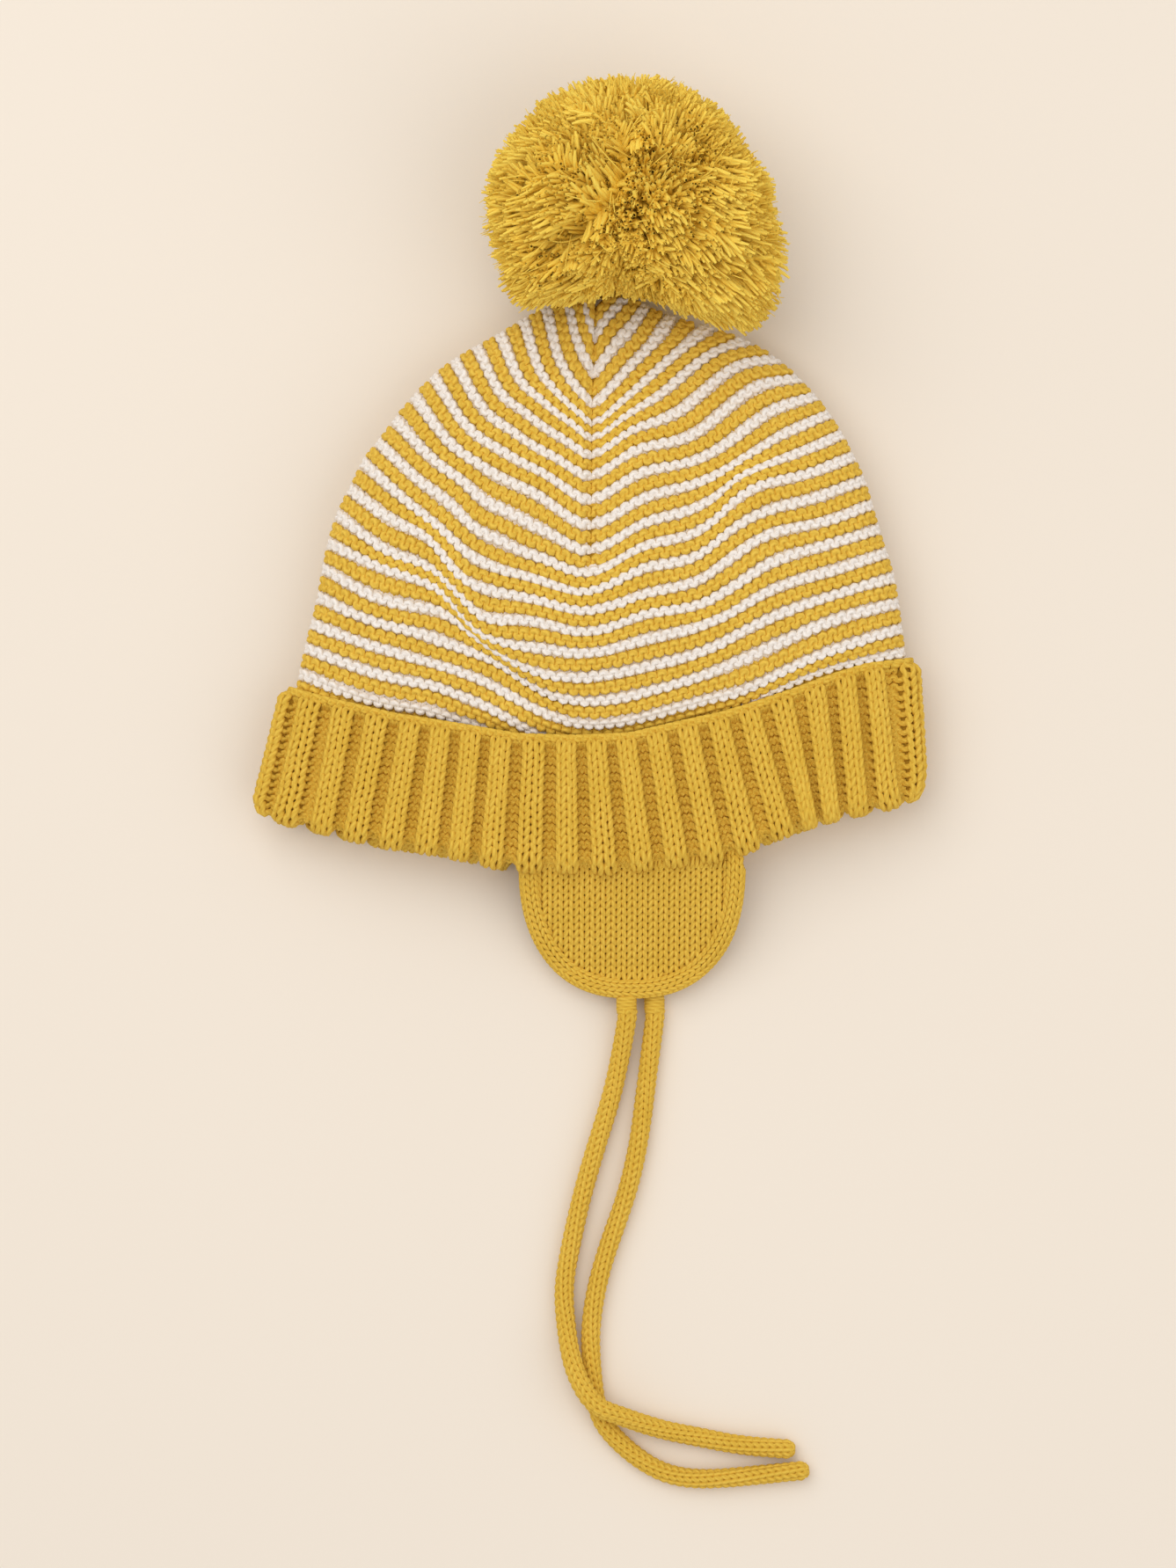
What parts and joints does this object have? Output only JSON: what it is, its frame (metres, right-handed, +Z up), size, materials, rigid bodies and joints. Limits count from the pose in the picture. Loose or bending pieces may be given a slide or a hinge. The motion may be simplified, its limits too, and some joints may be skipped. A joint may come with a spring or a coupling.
{
  "type": "knitted bobble hat with ear flaps",
  "caption": "Baby's knitted hat lying flat: striped crown, turned-up rib cuff, two ear flaps with tie cords and a yarn pompom.",
  "frame": {"origin": "middle of the hat's footprint on the surface it lies on, with the ties left out", "axes": "+Y from the mouth of the hat towards the pompom, +X across the hat, +Z up from the surface it lies on"},
  "size_m": [0.1886, 0.4006, 0.0664],
  "materials": {
    "crown_stripes": "garter-stitch cotton and wool knit in mustard and cream stripes",
    "rib_knit": "rib knit in mustard yarn",
    "flap_knit": "stocking-stitch knit in mustard yarn",
    "tie_cord": "round knitted cord in mustard yarn",
    "pom_yarn": "cut yarn pile",
    "seam_yarn": "sewing yarn"
  },
  "bodies": {
    "hat": {"crown_near_panel": "crown_stripes", "crown_far_panel": "crown_stripes", "crown_near_dart_seam": "seam_yarn", "crown_far_dart_seam": "seam_yarn", "crown_top_gather": "seam_yarn", "cuff_near_turnup": "rib_knit", "cuff_near_band": "rib_knit", "cuff_far_turnup": "rib_knit", "cuff_far_band": "rib_knit", "pom_anchor_knot": "seam_yarn", "flap_near_root_seam": "seam_yarn", "flap_far_root_seam": "seam_yarn"},
    "pom_anchor": {"pom_anchor_tails": "seam_yarn"},
    "pompom": {"pom_left_lobe": "pom_yarn", "pom_right_lobe": "pom_yarn", "pom_binding_thread": "seam_yarn"},
    "near_flap": {"flap_near_panel": "flap_knit", "flap_near_border": "flap_knit", "tie_near_tack": "seam_yarn"},
    "far_flap": {"flap_far_panel": "flap_knit", "flap_far_border": "flap_knit", "tie_far_tack": "seam_yarn"},
    "near_tie": {"tie_near": "tie_cord"},
    "far_tie": {"tie_far": "tie_cord"}
  },
  "joints": [
    {"name": "pom_sway", "type": "hinge", "parent": "hat", "child": "pom_anchor", "pos_m": [0.0015, 0.0716, 0.0105], "axis": [0, 0, 1], "range_deg": [-20, 20]},
    {"name": "pom_nod", "type": "hinge", "parent": "pom_anchor", "child": "pompom", "pos_m": [0.0015, 0.0716, 0.0105], "axis": [1, 0, 0], "range_deg": [0, 20]},
    {"name": "near_flap_fold", "type": "hinge", "parent": "hat", "child": "near_flap", "pos_m": [0.0121, -0.0975, 0.015], "axis": [-1, 0, 0], "range_deg": [0, 110]},
    {"name": "far_flap_fold", "type": "hinge", "parent": "hat", "child": "far_flap", "pos_m": [0.0121, -0.0975, 0.0096], "axis": [1, 0, 0], "range_deg": [0, 80]},
    {"name": "near_tie_swing", "type": "hinge", "parent": "near_flap", "child": "near_tie", "pos_m": [0.0106, -0.1368, 0.0054], "axis": [-1, 0, 0], "range_deg": [0, 60]},
    {"name": "far_tie_swing", "type": "hinge", "parent": "far_flap", "child": "far_tie", "pos_m": [0.0186, -0.1368, 0.00287], "axis": [1, 0, 0], "range_deg": [0, 60]}
  ]
}
